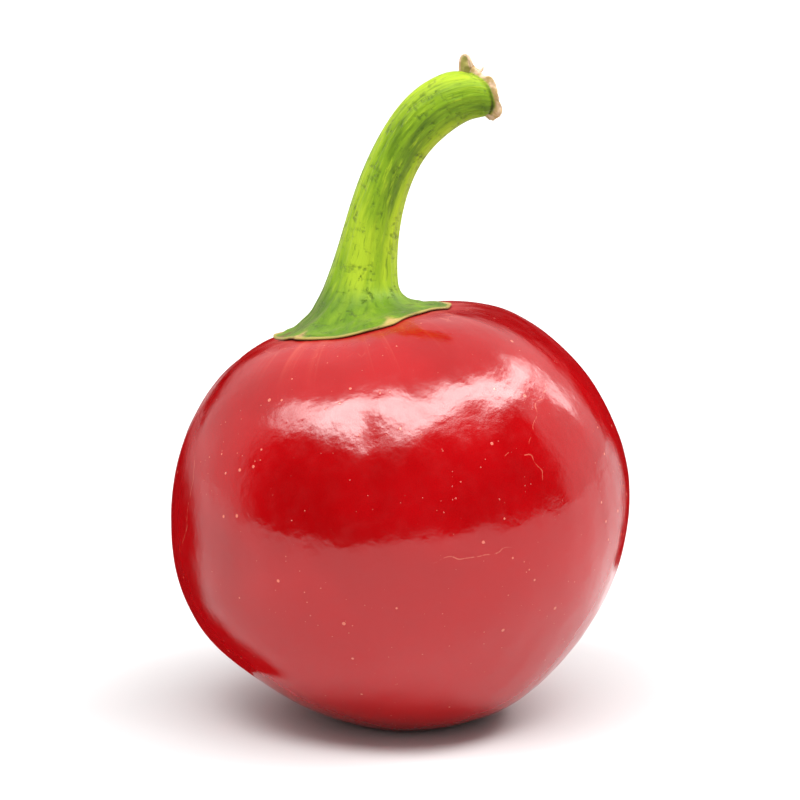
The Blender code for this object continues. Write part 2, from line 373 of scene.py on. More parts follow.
def hairline(tree, vector, longitude, latitude, bend, first, last):
    """A fine scratch in the skin: part of a circle of radius bend about a place on it, between
    two angles, broken and wavering."""
    centre = on_skin(np.float64(latitude), np.float64(longitude))
    outward = centre / np.linalg.norm(centre)
    east = np.array((math.cos(math.radians(longitude)), math.sin(math.radians(longitude)), 0.0))
    turned = Matrix(np.stack([east, np.cross(outward, east), outward], axis=1).tolist())
    local = node(tree, "ShaderNodeMapping", {"Vector": vector, "Location": centre.tolist(),
                                             "Rotation": turned.to_euler()},
                 vector_type="TEXTURE").outputs[0]
    part = node(tree, "ShaderNodeSeparateXYZ", {"Vector": local}).outputs
    squares = maths(tree, "ADD", maths(tree, "MULTIPLY", part["X"], part["X"]),
                    maths(tree, "MULTIPLY", part["Y"], part["Y"]))
    waver = fade(tree, noise(tree, vector, 0.45, 1.0), 0.2, 0.8, -0.45, 0.45)
    away = maths(tree, "SUBTRACT", maths(tree, "ADD", maths(tree, "SQRT", squares), waver), bend)
    line = fade(tree, maths(tree, "ABSOLUTE", away), 0.02, 0.06, 1.0, 0.0)
    angle = maths(tree, "MULTIPLY", maths(tree, "ARCTAN2", part["Y"], part["X"]), DEGREES)
    line = maths(tree, "MULTIPLY", line, between(tree, angle, first, last, 6.0))
    line = maths(tree, "MULTIPLY", line, fade(tree, noise(tree, vector, 1.6, 2.0), 0.40, 0.56))
    return maths(tree, "MULTIPLY", line, fade(tree, part["Z"], -6.0, -5.0))


wide_flecks = specks(tree, fruit_mm, scale=0.85, share=0.60, largest=0.155)
fine_flecks = specks(tree, fruit_mm, scale=2.1, share=0.40, largest=0.16)
flecks = maths(tree, "ADD", wide_flecks, maths(tree, "MULTIPLY", fine_flecks, 0.6))
colour = blended(tree, maths(tree, "MULTIPLY", flecks, 0.7), colour, FLECK)
HAIRLINES = (              # longitude, latitude, radius of the bend, first and last angle
    (33.0, 7.0, 2.4, -15.0, 110.0),
    (-20.0, -3.0, 16.0, 62.0, 84.0),
    (62.0, 2.0, 9.0, 100.0, 150.0),
    (14.0, -40.0, 11.0, 70.0, 100.0),
    (150.0, 10.0, 5.0, 20.0, 110.0),
    (215.0, -15.0, 12.0, 60.0, 95.0),
    (-80.0, 20.0, 6.0, -60.0, 30.0),
)
scratches = 0.0
for longitude, latitude, bend, first, last in HAIRLINES:
    scratches = maths(tree, "ADD", scratches,
                      hairline(tree, fruit_mm, longitude, latitude, bend, first, last))

# Faint netting: short cracks in the wax, in a ring close to the calyx.
netting = node(tree, "ShaderNodeTexVoronoi", {"Vector": fruit_mm, "Scale": 0.75},
               feature="DISTANCE_TO_EDGE").outputs["Distance"]
netting = maths(tree, "MULTIPLY", fade(tree, netting, 0.012, 0.05, 1.0, 0.0),
                fade(tree, noise(tree, fruit_mm, 0.55, 2.0), 0.54, 0.68))
netting = maths(tree, "MULTIPLY", netting,
                between(tree, attribute(tree, "past_rim"), 0.6, 3.6, 0.6))
scratches = maths(tree, "ADD", scratches, maths(tree, "MULTIPLY", netting, 0.5))
colour = blended(tree, maths(tree, "MULTIPLY", scratches, 0.45), colour, HAIRLINE)

SMOOTHEST, ROUGHEST = 0.12, 0.21
rough = fade(tree, noise(tree, fruit_mm, 0.8, 4.0), 0.3, 0.8, SMOOTHEST, ROUGHEST)
foot_x = maths(tree, "SUBTRACT", axes.outputs["X"], FOOT_ASIDE)
foot_reach = maths(tree, "SQRT", maths(tree, "ADD", maths(tree, "MULTIPLY", foot_x, foot_x),
                                       maths(tree, "POWER", axes.outputs["Y"], 2.0)))
foot_reach = maths(tree, "ADD", foot_reach,
                   fade(tree, noise(tree, fruit_mm, 1.2, 3.0), 0.2, 0.8, -0.7, 0.7))
under_side = fade(tree, axes.outputs["Z"], -12.0, -14.0)
scar = maths(tree, "MULTIPLY", under_side, fade(tree, foot_reach, 1.35, 1.55, 1.0, 0.0))
margin = maths(tree, "MULTIPLY", under_side, fade(tree, foot_reach, 1.7, 2.3, 1.0, 0.0))
crumbs = fade(tree, noise(tree, fruit_mm, 3.0, 4.0), 0.35, 0.6)
cork = blended(tree, crumbs, SCAR_DARK, SCAR_BROWN)
colour = blended(tree, margin, colour, SCAR_MARGIN)
colour = blended(tree, scar, colour, cork)
rough = maths(tree, "ADD", rough, maths(tree, "MULTIPLY", margin, 0.5))
dull = fade(tree, attribute(tree, "past_rim"), 0.0, 3.5, 0.22, 0.0)
rough = maths(tree, "ADD", rough, dull)
tree.links.new(colour, shader.inputs["Base Color"])
tree.links.new(rough, shader.inputs["Roughness"])
grain = maths(tree, "ADD", noise(tree, fruit_mm, 1.1, 3.0), maths(tree, "MULTIPLY", flecks, 0.7))
grain = maths(tree, "ADD", grain, maths(tree, "MULTIPLY", scar, noise(tree, fruit_mm, 2.5, 4.0)))
bump = node(tree, "ShaderNodeBump", {"Strength": 1.0, "Distance": 0.03 * MM, "Height": grain})
tree.links.new(bump.outputs["Normal"], shader.inputs["Normal"])


# The calyx: what is left of the flower's green cup, grown out of the stem. It flares down from
# the stem's foot and ends in short pointed teeth that lie on the crown, dry and brown at their
# tips, with a pale corky rim between them. The left tooth has curled up off the skin. Painted
# brown shade fills the hollow of its curl and runs in a line under the rim.
STEM_LINE = np.array([
    (0.00, 0.00, 16.60),
    (0.70, -0.07, 18.90),
    (1.70, -0.20, 21.20),
    (3.58, -0.55, 26.05),
    (6.93, -1.20, 31.03),
    (11.05, -1.90, 34.12),
    (12.80, -2.03, 34.50),
    (15.90, -2.15, 33.92),
])
JUNCTION = 2                               # the point of the line where calyx and stem meet
CAMERA_SIDE = np.array((-0.137, -0.99, 0.0))
SIDE_TURN = 7.9                            # degrees from the camera's side round to longitude 0
STEM_THIN, STEM_SWELL, SWELL_LENGTH = 2.03, 0.88, 4.4
BEND_SWELL, BEND_AT, BEND_SPREAD = 0.31, 16.0, 3.8
RIM_THICKNESS = 0.23
CLEARANCE = 0.03                           # between the calyx's underside and the skin
CURL = 0.55                                # how far the left tooth's tip stands off the skin
CURL_WIDTH = 13.0
CALYX_COLUMNS, FLARE_ROWS, UNDER_ROWS, EDGE_ROWS = 320, 110, 9, 7
CAP_ROWS, CAP_REACH = 4, 0.96              # rings that close a piece where the two meet
LEAVE_SHARE, ARRIVE_INSIDE = 0.42, 2.7     # how far the flare's curve keeps its direction
KEEL_HEIGHT, EDGE_BULGE = 0.16, 0.13

steps = np.linalg.norm(np.diff(STEM_LINE, axis=0), axis=1)
line_knots = np.concatenate([[0.0], np.cumsum(steps)])
line_fit = [np.polynomial.Polynomial.fit(line_knots, STEM_LINE[:, axis], 5) for axis in range(3)]
junction_length = line_knots[JUNCTION]


def along_stem(length):
    """Points of the stem's middle line, its direction, and the two directions across it, towards
    the camera's side and to the right: a smooth curve of the fifth degree through its points."""
    points = np.stack([part(length) for part in line_fit], axis=-1)
    ahead = np.stack([part.deriv()(length) for part in line_fit], axis=-1)
    ahead /= np.linalg.norm(ahead, axis=-1, keepdims=True)
    near = CAMERA_SIDE - ahead * (ahead @ CAMERA_SIDE)[..., None]
    near /= np.linalg.norm(near, axis=-1, keepdims=True)
    return points, ahead, near, np.cross(ahead, near)


def across(near, right, longitude):
    """The direction out of the stem's middle line at a longitude."""
    turn = np.radians(longitude + SIDE_TURN)[..., None]
    return near * np.cos(turn) + right * np.sin(turn)


def stem_radius(length, longitude):
    """The stem's radius: wide where it grows out of the calyx, soon thinner, a little thicker in
    the bend, with five faint ridges and finer ones between them."""
    above = length - junction_length
    turn = np.radians(longitude)
    ridges = 0.022 * np.cos(5.0 * turn + 0.8 + 0.05 * above)
    ridges = ridges + 0.010 * np.cos(13.0 * turn + 2.0 - 0.09 * above)
    ridges = ridges + 0.006 * np.cos(29.0 * turn + 0.13 * above)
    thickness = STEM_THIN + STEM_SWELL * np.exp(-above / SWELL_LENGTH)
    thickness = thickness + BEND_SWELL * bell(above, BEND_AT, BEND_SPREAD)
    return thickness * (1.0 + ridges)


def fibres(longitude, length):
    """Where a point lies among the fibres: round the stalk in x and y, along it in z."""
    turn = np.radians(longitude)
    return np.stack([2.4 * np.cos(turn), 2.4 * np.sin(turn), length - junction_length], axis=-1)


def painted_highlight_flank(longitude, above):
    """How much painted highlight the tissue gets at a height above the junction: a painted
    highlight on its flank to the right, low down, and a weaker one on the left of the bend."""
    low = 0.95 * bell(turned_by(longitude, 62.0), 0.0, 32.0) * bell(above, 6.0, 9.0)
    return low + 0.5 * bell(turned_by(longitude, -60.0), 0.0, 30.0) * bell(above, 17.0, 5.0)


def latitude_at(radius, longitude):
    """The latitude near the crown where the skin is this far from the pod's axis."""
    latitude = np.full(np.broadcast(radius, longitude).shape, 65.0)
    for _ in range(14):
        share = np.clip(radius / skin_radius(latitude, longitude), 0.0, 1.0)
        latitude = np.degrees(np.arccos(share))
    return latitude


def over_crown(radius, longitude, lift):
    """A point above the crown: on the skin at this distance from the axis, raised by lift."""
    latitude = latitude_at(radius, longitude)
    return on_skin(latitude, longitude) + np.stack([0.0 * lift, 0.0 * lift, lift], axis=-1)


def curve(share, start, leave, arrive, end):
    """A cubic Bezier curve from start to end, towards leave and then from arrive."""
    rest = 1.0 - share
    return (start * rest ** 3 + leave * 3.0 * rest ** 2 * share
            + arrive * 3.0 * rest * share ** 2 + end * share ** 3)


around = np.linspace(0.0, 360.0, CALYX_COLUMNS, endpoint=False)
turn = np.radians(around)
circling = np.stack([np.sin(turn), np.cos(turn), 0.0 * turn], axis=-1)
rim = calyx_rim(around) + 0.07 * ripple(circling * 7.0, 2.6, 11)
teeth = sum(tooth_at(around, place) for place, reach in TEETH)
left_tooth = turned_by(around, TEETH[0][0])
curled = CURL * bell(left_tooth, 0.0, CURL_WIDTH)
lift = CLEARANCE + curled + 0.05 * (1.0 + ripple(circling * 7.0, 3.3, 12)) / 2.0

point, ahead, near, right = along_stem(np.array([junction_length]))
neck_way = across(near, right, around)
neck_radius = stem_radius(junction_length, around)[:, None]
neck = point + neck_way * neck_radius
rim_top = over_crown(rim, around, lift + RIM_THICKNESS)
drop = np.linalg.norm(neck - rim_top, axis=-1)[:, None]
leave = neck - (ahead - neck_way * STEM_SWELL / SWELL_LENGTH) * (LEAVE_SHARE * drop)
arrive = over_crown(rim - ARRIVE_INSIDE - 0.35 * teeth, around, 0.75 + 0.25 * teeth)
share = np.linspace(0.0, 1.0, FLARE_ROWS)[:, None, None] ** 0.9
flare = curve(share, neck, leave, arrive, rim_top)
swell = np.sin(np.pi * np.clip(share[..., 0], 0.0, 1.0)) ** 2
keels = KEEL_HEIGHT * (teeth - 0.5) + 0.03 * ripple(flare, 2.2, 13)
flare[..., 2] += swell * keels
lumps = np.clip(share[..., 0] * 1.6 - 0.5, 0.0, 1.0)
lumps = lumps * np.clip((1.0 - share[..., 0]) * 14.0, 0.0, 1.0)
flare[..., 2] += lumps * (0.045 * ripple(flare, 1.7, 14) + 0.02 * ripple(flare, 0.8, 15))

edge_turn = np.linspace(0.0, np.pi, EDGE_ROWS + 1)[1:, None]
edge_out = EDGE_BULGE * np.sin(edge_turn)
edge_down = 0.5 * RIM_THICKNESS * (1.0 - np.cos(edge_turn))
edge = over_crown(rim + edge_out, around + 0.0 * edge_out, lift + RIM_THICKNESS - edge_down)
inner = np.linspace(0.93, 0.07, UNDER_ROWS)[:, None]
under = over_crown(rim * inner, around + 0.0 * inner, CLEARANCE + (lift - CLEARANCE) * inner ** 5)
top_cap = point + (neck - point) * np.linspace(0.0, CAP_REACH, CAP_ROWS)[:, None, None]
bottom_cap = over_crown(np.zeros_like(rim), around, CLEARANCE + 0.0 * rim)[None]
calyx_rows = np.concatenate([top_cap, flare, edge, under, bottom_cap])

to_rim = np.concatenate([np.zeros(CAP_ROWS), share[:, 0, 0],
                         np.linspace(1.0, 1.15, EDGE_ROWS), np.full(UNDER_ROWS + 1, 1.2)])
to_rim = to_rim[:, None] + 0.0 * around
down = np.linalg.norm(calyx_rows - np.concatenate([calyx_rows[:1], calyx_rows[:-1]]), axis=-1)
down = np.cumsum(np.where(np.arange(len(down))[:, None] > CAP_ROWS, down, 0.0), axis=0)
on_top = np.clip(to_rim, 0.0, 1.0)
tips = sum(tooth_at(around, place) ** 3 for place, reach in TEETH) * on_top ** 6
# Where the painted shade of the curled tooth's hollow lies.
curl_shade_mask = bell(left_tooth, 23.0, 14.0) * on_top ** 3

neck_ring = len(calyx_rows) - 1 - CAP_ROWS
calyx = closed_skin("calyx_cap", leaned(calyx_rows[::-1]), sharp_rings=(neck_ring,))
set_values(calyx, "fibre", fibres(around + 0.0 * to_rim, junction_length - down)[::-1])
set_values(calyx, "to_rim", to_rim[::-1])
set_values(calyx, "dried", np.clip(tips, 0.0, 1.0)[::-1])
set_values(calyx, "curl_shade_mask", curl_shade_mask[::-1])
set_values(calyx, "painted_highlight_flank", painted_highlight_flank(around, -down)[::-1])
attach(calyx, "root")
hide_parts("calyx")


def new_group(name, inputs, outputs):
    """A shader node group with named sockets, and its nodes that bring values in and out."""
    made = bpy.data.node_groups.new(name, "ShaderNodeTree")
    for title, kind in inputs:
        made.interface.new_socket(name=title, in_out="INPUT", socket_type="NodeSocket" + kind)
    for title, kind in outputs:
        made.interface.new_socket(name=title, in_out="OUTPUT", socket_type="NodeSocket" + kind)
    return made, made.nodes.new("NodeGroupInput").outputs, made.nodes.new("NodeGroupOutput").inputs


def stretched(tree, vector, across_scale, along_scale):
    """Fibre places with a scale of their own across and along the fibres."""
    return node(tree, "ShaderNodeMapping",
                {"Vector": vector, "Scale": (across_scale, across_scale, along_scale)}).outputs[0]


# Green tissue of the calyx and stem: fibres run along it as paler and darker streaks, with faint
# creases across them, and it has darker bruises and pits where it has dried.
tissue, given, put = new_group(
    "green_tissue",
    (("Fibre", "Vector"), ("Fresh", "Color"), ("Pale", "Color"), ("Dark", "Color"),
     ("Painted_highlight", "Float"), ("Bruising", "Float")),
    (("Color", "Color"), ("Roughness", "Float"), ("Height", "Float")))
broad = noise(tissue, stretched(tissue, given["Fibre"], 0.60, 0.11), 1.0, 4.0, 0.6)
fine = noise(tissue, stretched(tissue, given["Fibre"], 3.6, 0.50), 1.0, 3.0, 0.6)
pits = noise(tissue, stretched(tissue, given["Fibre"], 1.3, 0.9), 1.0, 6.0, 0.72)
wrinkles = noise(tissue, stretched(tissue, given["Fibre"], 0.8, 2.6), 1.0, 2.0, 0.55)
# The value given from outside is a painted highlight on the flanks, added to the paler fibre
# streaks.
pale = maths(tissue, "ADD", fade(tissue, broad, 0.44, 0.68, 0.0, 0.75), given["Painted_highlight"])
pale = node(tissue, "ShaderNodeClamp", {"Value": pale}).outputs[0]
tone = blended(tissue, pale, given["Fresh"], given["Pale"])
tone = blended(tissue, fade(tissue, broad, 0.46, 0.34, 0.0, 0.6), tone, given["Dark"])
tone = blended(tissue, fade(tissue, fine, 0.44, 0.30, 0.0, 0.55), tone, given["Dark"])
tone = blended(tissue, fade(tissue, fine, 0.56, 0.72, 0.0, 0.6), tone, given["Pale"])
patches = fade(tissue, pits, 0.45, 0.60)
creased = maths(tissue, "MULTIPLY", fade(tissue, wrinkles, 0.50, 0.68, 0.0, 0.45), patches)
tone = blended(tissue, creased, tone, given["Dark"])
bruised = maths(tissue, "MULTIPLY", fade(tissue, pits, 0.57, 0.70, 0.0, 0.8), given["Bruising"])
tone = blended(tissue, bruised, tone, given["Dark"])
tissue.links.new(tone, put["Color"])
tissue.links.new(fade(tissue, broad, 0.3, 0.7, 0.42, 0.62), put["Roughness"])
ridged = maths(tissue, "ADD", fine, maths(tissue, "MULTIPLY", broad, 0.8))
ridged = maths(tissue, "SUBTRACT", ridged, maths(tissue, "MULTIPLY", creased, 0.5))
tissue.links.new(maths(tissue, "SUBTRACT", ridged, maths(tissue, "MULTIPLY", bruised, 0.9)),
                 put["Height"])

FRESH_GREEN = (0.155, 0.275, 0.005)
PALE_GREEN = (0.36, 0.48, 0.016)
CALYX_GREEN = (0.080, 0.165, 0.002)
CALYX_PALE = (0.165, 0.265, 0.008)
DARK_GREEN = (0.045, 0.105, 0.002)
TAN, RIM_TAN, SHADE_BROWN = (0.42, 0.28, 0.10), (0.34, 0.25, 0.065), (0.11, 0.04, 0.012)
SHEEN_TINT = (1.0, 0.86, 0.55, 1.0)


def green_finish(tree, shader, painted_highlight_amount, bruising, fresh, pale):
    """The green tissue's colour, with its roughness and relief already on the shader."""
    used = node(tree, "ShaderNodeGroup", node_tree=tissue)
    for name, value in (("Fibre", attribute(tree, "fibre", "Vector")), ("Painted_highlight", painted_highlight_amount),
                        ("Bruising", bruising), ("Fresh", fresh), ("Pale", pale),
                        ("Dark", (*DARK_GREEN, 1.0))):
        if isinstance(value, bpy.types.NodeSocket):
            tree.links.new(value, used.inputs[name])
        else:
            used.inputs[name].default_value = value
    tree.links.new(used.outputs["Roughness"], shader.inputs["Roughness"])
    bump = node(tree, "ShaderNodeBump", {"Strength": 1.0, "Distance": 0.10 * MM,
                                         "Height": used.outputs["Height"]})
    tree.links.new(bump.outputs["Normal"], shader.inputs["Normal"])
    return used.outputs["Color"]


GREEN_SHEEN = {"Specular_IOR_Level": 0.20, "Sheen_Weight": 0.20, "Sheen_Roughness": 0.35,
               "Sheen_Tint": SHEEN_TINT}

tree, shader = new_material("calyx_green_tissue", calyx, **GREEN_SHEEN)
to_rim_here = attribute(tree, "to_rim")
bruising = fade(tree, to_rim_here, 0.25, 0.8, 0.9, 1.5)
lower = fade(tree, to_rim_here, 0.0, 0.40)
# The calyx gets the painted highlight on its flank near the stem.
colour = green_finish(tree, shader, attribute(tree, "painted_highlight_flank"), bruising,
                      blended(tree, lower, FRESH_GREEN, CALYX_GREEN),
                      blended(tree, lower, PALE_GREEN, CALYX_PALE))
dried = attribute(tree, "dried")
blotches = noise(tree, attribute(tree, "fibre", "Vector"), 1.8, 4.0, 0.6)
drying = fade(tree, maths(tree, "ADD", dried, maths(tree, "MULTIPLY", blotches, 0.3)), 0.35, 0.75)
colour = blended(tree, drying, colour, TAN)
# Painted shade: brown in the hollow under the curled left tooth, broken up by blotches.
hollow = maths(tree, "MULTIPLY", attribute(tree, "curl_shade_mask"),
               fade(tree, blotches, 0.3, 0.6, 0.5, 1.0))
colour = blended(tree, fade(tree, hollow, 0.35, 0.7, 0.0, 0.8), colour, SHADE_BROWN)
rim_line = maths(tree, "MULTIPLY", fade(tree, to_rim_here, 0.972, 0.996, 0.0, 0.85),
                 fade(tree, blotches, 0.3, 0.5, 0.35, 1.0))
colour = blended(tree, rim_line, colour, RIM_TAN)
# Painted shade: a brown line along the rim's underside, below its pale edge.
colour = blended(tree, fade(tree, to_rim_here, 1.02, 1.10, 0.0, 0.9), colour, SHADE_BROWN)
tree.links.new(colour, shader.inputs["Base Color"])


# The stem: a green, faintly ridged stalk, full of fibres, that bends over to one side. It was
# torn off the plant: its end is slanted, with a dry cream-coloured lip round a shrunken pith.
# A near-black painted shade lies in the groove behind the lip.
STEM_COLUMNS, STEM_ROWS, END_ROWS = 200, 230, 72
END_LENGTH = line_knots[-1] - 1.0
SLANT_DOWN, SLANT_NEAR = 1.0, 1.35         # how much further the lip reaches below and in front
END_ZONE = 1.6
END_PROFILE = np.array([                   # from the lip back along the stem, share of its radius
    (-1.60, 1.000), (-1.20, 0.975), (-0.90, 0.935), (-0.65, 0.865), (-0.48, 0.825),
    (-0.36, 0.840), (-0.25, 0.900), (-0.14, 0.965), (-0.04, 1.000), (0.04, 1.000),
    (0.08, 0.965), (0.05, 0.910), (-0.06, 0.865), (-0.26, 0.825), (-0.42, 0.740),
    (-0.46, 0.560), (-0.40, 0.300), (-0.38, 0.000),
])
LIP_FROM, PITH_FROM = 8, 11                # the profile's points where the lip and the pith start
PITH_RELIEF = 0.07

around = np.linspace(0.0, 360.0, STEM_COLUMNS, endpoint=False)[None, :]
turn = np.radians(around + SIDE_TURN)
circling = np.stack([np.sin(turn), np.cos(turn), 0.0 * turn], axis=-1)
ragged = 0.085 * ripple(circling * 2.1, 1.5, 21) + 0.05 * ripple(circling * 2.1, 0.55, 22)
slant = SLANT_DOWN * np.sin(turn) + SLANT_NEAR * np.cos(turn)
share = np.linspace(0.0, 1.0, STEM_ROWS)[:, None]
tube_end = END_LENGTH + slant - END_ZONE
tube_length = junction_length + share * (tube_end - junction_length)
spread = np.cumsum(np.concatenate([[0.0], np.hypot(np.diff(END_PROFILE[:, 0]),
                                                   2.0 * np.diff(END_PROFILE[:, 1]))]))
even = np.linspace(0.0, spread[-1], END_ROWS)[1:]
back = np.interp(even, spread, END_PROFILE[:, 0])[:, None]
width = np.interp(even, spread, END_PROFILE[:, 1])[:, None]
lipped = bell(back, 0.02, 0.22) * (width > 0.85)
end_length = END_LENGTH + (slant + ragged * np.clip(1.0 + back / 0.5, 0.0, 1.0)) * width + back
lip_shape = 0.035 * ripple(circling * 2.1, 1.1, 23) + 0.02 * ripple(circling * 2.1, 0.5, 24)
end_width = width * (1.0 + lipped * lip_shape)
lengths = np.concatenate([tube_length, end_length])
radii = stem_radius(lengths, around) * np.concatenate([np.ones_like(tube_length), end_width])
points, ahead, near, right = along_stem(lengths)
ways = near * np.cos(turn)[..., None] + right * np.sin(turn)[..., None]
tube = points + ways * radii[..., None]
pithy = np.concatenate([np.zeros((STEM_ROWS, 1)), (even[:, None] > spread[PITH_FROM]) * 1.0])
tube = tube + ahead * (pithy * PITH_RELIEF * ripple(tube, 0.8, 25))[..., None]
outward = tube[0] - points[0, 0]
start_cap = points[:1, :1] + outward * np.linspace(0.0, CAP_REACH, CAP_ROWS)[:, None, None]
stem_rows = np.concatenate([start_cap, tube])

whole = np.concatenate([np.full((CAP_ROWS, STEM_COLUMNS), junction_length), lengths])
before_end = np.zeros((CAP_ROWS + STEM_ROWS, 1))
on_lip = even[:, None] < spread[PITH_FROM + 2]
torn = np.concatenate([before_end, np.clip((back + 0.40) / 0.12, 0.0, 1.0) * on_lip])
pith = np.concatenate([np.zeros((CAP_ROWS, 1)), pithy])
in_groove = even[:, None] < spread[LIP_FROM]
# Painted shade in the groove behind the torn lip, darker on the stalk's right.
painted_groove_shade = np.concatenate([before_end, bell(back, -0.55, 0.17) * in_groove])
painted_groove_shade = painted_groove_shade * (0.25 + 0.75 * np.clip(0.5 + np.sin(turn), 0.0, 1.0))
stem = closed_skin("stem_stalk", leaned(stem_rows), sharp_rings=(CAP_ROWS,))
set_values(stem, "fibre", fibres(around + 0.0 * whole, whole))
set_values(stem, "painted_highlight_flank", painted_highlight_flank(around, whole - junction_length))
set_values(stem, "torn", torn + 0.0 * around)
set_values(stem, "pith", pith + 0.0 * around)
set_values(stem, "painted_groove_shade", painted_groove_shade)
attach(stem, "root")
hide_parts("stem")

CREAM, GROOVE_SHADE_GREEN = (0.70, 0.49, 0.33), (0.028, 0.024, 0.005)
PITH_PALE, PITH_BROWN = (0.52, 0.40, 0.18), (0.17, 0.085, 0.03)
tree, shader = new_material("stem_green_tissue", stem, **GREEN_SHEEN)
# The stem gets the painted highlight on its right flank low down and on the left of the bend.
colour = green_finish(tree, shader, attribute(tree, "painted_highlight_flank"), 0.75,
                      (*FRESH_GREEN, 1.0), (*PALE_GREEN, 1.0))
place = node(tree, "ShaderNodeTexCoord").outputs["Object"]
mottle = noise(tree, place, 1400.0, 3.0)
# Painted shade: near-black green in the groove behind the lip.
colour = blended(tree, maths(tree, "MULTIPLY", attribute(tree, "painted_groove_shade"), 0.9), colour, GROOVE_SHADE_GREEN)
cream = blended(tree, fade(tree, mottle, 0.35, 0.65), TAN, CREAM)
colour = blended(tree, attribute(tree, "torn"), colour, cream)
dry = blended(tree, fade(tree, mottle, 0.38, 0.62), PITH_BROWN, PITH_PALE)
colour = blended(tree, attribute(tree, "pith"), colour, dry)
tree.links.new(colour, shader.inputs["Base Color"])


# Shreds of dry tissue, left standing on the torn end: a flap with a curled top, a hooked strand
# beside it, and a short flick below. Each is a thin strip, cream at its edges.
ALONG_END = np.array((0.97, -0.03, -0.21))
SHREDS = {                                 # path, widths along it, thickness, and the wide way
    "flap": (((13.85, -2.20, 35.80), (13.78, -2.36, 36.55), (13.80, -2.46, 37.15),
              (13.92, -2.56, 37.70), (14.12, -2.76, 37.98)),
             (1.55, 1.25, 1.00, 0.80, 0.55), 0.16, ALONG_END),
    "strand": (((13.88, -2.74, 37.96), (14.22, -2.66, 37.72), (14.38, -2.56, 37.15),
                (14.52, -2.46, 36.62), (14.78, -2.40, 36.30), (15.10, -2.42, 36.32),
                (15.36, -2.50, 36.66)),
               (0.20, 0.30, 0.30, 0.34, 0.40, 0.32, 0.06), 0.26, (0.75, 0.0, 0.65)),
    "flick": (((14.85, -1.98, 32.25), (15.40, -1.98, 32.16), (15.97, -2.00, 32.20)),
              (0.42, 0.40, 0.12), 0.30, np.cross(ALONG_END, (0.0, 1.0, 0.0))),
}
SHRED_ROWS, SHRED_COLUMNS = 36, 20
SHRED_GREEN, SHRED_TAN, CREAM_DARK = (0.28, 0.25, 0.060), (0.46, 0.36, 0.15), (0.46, 0.27, 0.14)


def strip(path, widths, thickness, wide_way):
    """The rows of a thin strip along a path: flat ovals that face across the path, as wide as
    widths say along the wide way, closed to a point at both ends. With them comes how near each
    point is to the strip's two edges."""
    path = np.array(path)
    run = np.concatenate([[0.0], np.cumsum(np.linalg.norm(np.diff(path, axis=0), axis=1))])
    degree = min(4, len(path) - 1)
    at = run[-1] * (1.0 - np.cos(np.linspace(0.0, np.pi, SHRED_ROWS))) / 2.0
    fits = [np.polynomial.Polynomial.fit(run, path[:, axis], degree) for axis in range(3)]
    middle = np.stack([fit(at) for fit in fits], axis=-1)
    onward = np.stack([fit.deriv()(at) for fit in fits], axis=-1)
    onward /= np.linalg.norm(onward, axis=-1, keepdims=True)
    thin = np.cross(onward, np.array(wide_way))
    thin /= np.linalg.norm(thin, axis=-1, keepdims=True)
    wide = np.cross(thin, onward)
    closing = np.sqrt(np.clip(1.0 - (2.0 * at / run[-1] - 1.0) ** 8, 0.0, 1.0))[:, None, None]
    half = np.interp(at, run, widths)[:, None, None] / 2.0
    turn = np.linspace(0.0, 2.0 * np.pi, SHRED_COLUMNS, endpoint=False)[None, :, None]
    oval = wide[:, None] * np.cos(turn) * half + thin[:, None] * np.sin(turn) * thickness / 2.0
    rows = middle[:, None] + oval * closing
    rows = rows + 0.03 * closing * ripple(rows, 0.6, 31)[..., None] * thin[:, None]
    return rows, np.abs(np.cos(turn[..., 0])) ** 3 + 0.0 * rows[..., 0]


for name, (path, widths, thickness, wide_way) in SHREDS.items():
    rows, edge_share = strip(path, widths, thickness, wide_way)
    shred = closed_skin("stem_" + name, leaned(rows))
    set_values(shred, "edge", edge_share)
    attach(shred, "root")
    tree, shader = new_material("dry_" + name, shred, Roughness=0.6, **GREEN_SHEEN)
    place = node(tree, "ShaderNodeTexCoord").outputs["Object"]
    mottle = noise(tree, place, 1500.0, 3.0)
    inside = blended(tree, fade(tree, mottle, 0.4, 0.65), SHRED_GREEN, SHRED_TAN)
    cream = blended(tree, fade(tree, mottle, 0.3, 0.6), CREAM_DARK, CREAM)
    edged = attribute(tree, "edge") if name == "flap" else 1.0
    colour = blended(tree, fade(tree, edged, 0.15, 0.5), inside, cream)
    tree.links.new(colour, shader.inputs["Base Color"])
    bump = node(tree, "ShaderNodeBump", {"Strength": 1.0, "Distance": 0.05 * MM, "Height": mottle})
    tree.links.new(bump.outputs["Normal"], shader.inputs["Normal"])


# The studio: a white table, and a room that is white behind and at the sides, dark in front, with
# one broad soft light overhead in front. Two dark flags stand beside the fruit, out of the
# camera's sight and casting no shadow, so that its glossy edges stay dark against the table. Their
# own edges fade out.
TABLE_RADIUS, TABLE_GREY = 1.5, 0.60
bpy.ops.mesh.primitive_circle_add(vertices=96, radius=TABLE_RADIUS, fill_type="NGON")
table = bpy.context.object
table.name = "table"
tree, shader = new_material("white_table", table, Roughness=0.6, Specular_IOR_Level=0.2)
shader.inputs["Base Color"].default_value = (TABLE_GREY, TABLE_GREY, TABLE_GREY, 1.0)

